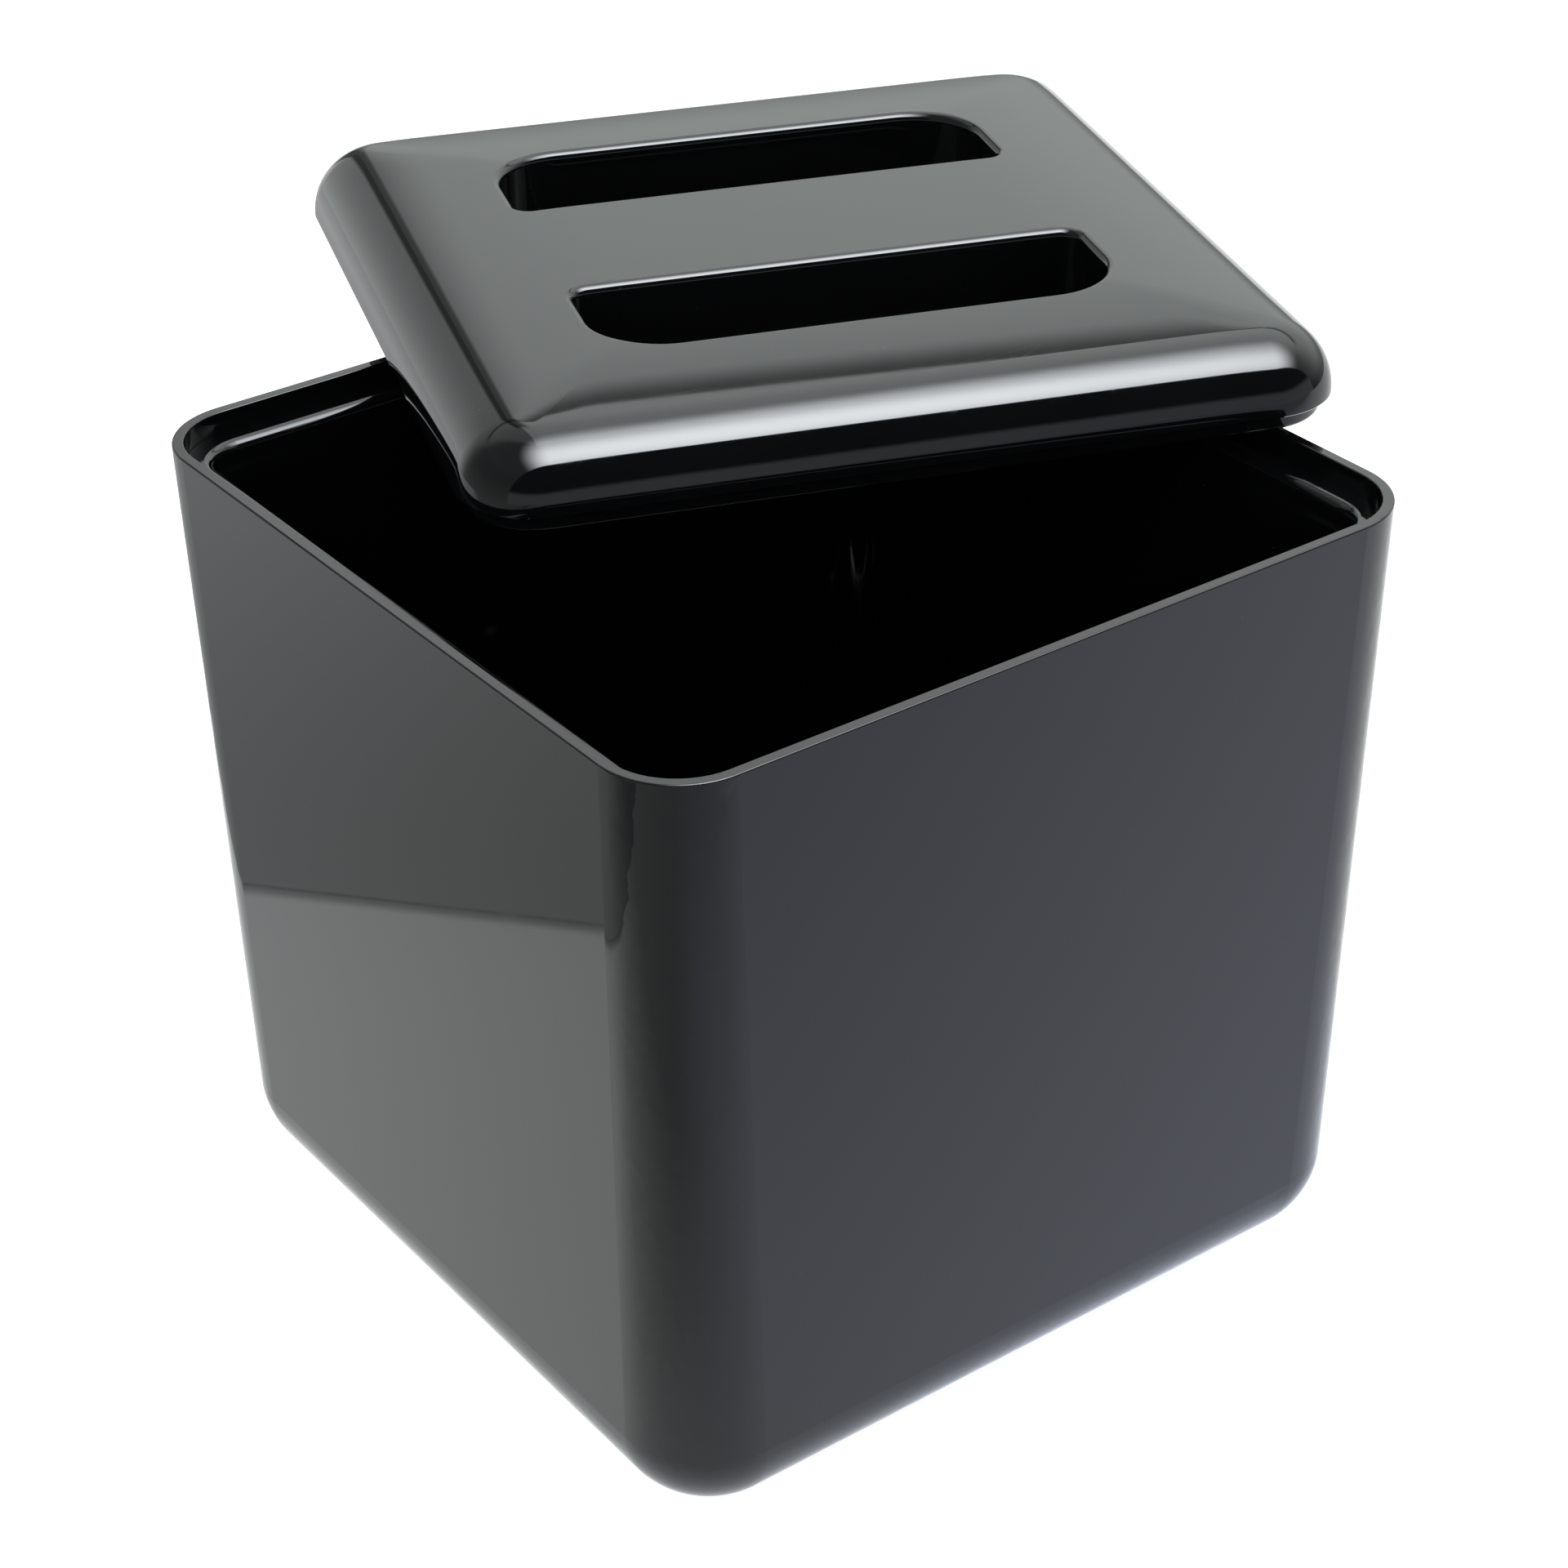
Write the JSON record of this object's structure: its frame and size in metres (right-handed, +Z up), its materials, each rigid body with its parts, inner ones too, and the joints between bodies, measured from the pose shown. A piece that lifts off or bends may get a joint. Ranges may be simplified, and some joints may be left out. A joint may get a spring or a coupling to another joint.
{
  "type": "ice bucket",
  "caption": "Square double-walled bucket with a rounded base, a stepped rim and a loose lid that has two D-shaped finger wells either side of a grip bar.",
  "frame": {"origin": "centre of the flat underside of the bucket, where it stands", "axes": "+Z up, -Y out of the front wall, +X to the right of someone facing the front wall"},
  "size_m": [0.3449, 0.3573, 0.2709],
  "materials": {
    "shell_plastic": "high gloss black, moulded",
    "liner_plastic": "gloss black, moulded",
    "lid_plastic": "high gloss black, moulded",
    "pan_plastic": "gloss black, moulded"
  },
  "bodies": {
    "bucket": {"outer_shell": "shell_plastic", "inner_liner": "liner_plastic"},
    "lid": {"lid_cap": "lid_plastic", "lid_pan": "pan_plastic"}
  },
  "joints": [
    {"name": "lid_lift", "type": "slide", "parent": "bucket", "child": "lid", "axis": [0, 0, 1], "range_m": [0, 0.2]}
  ]
}
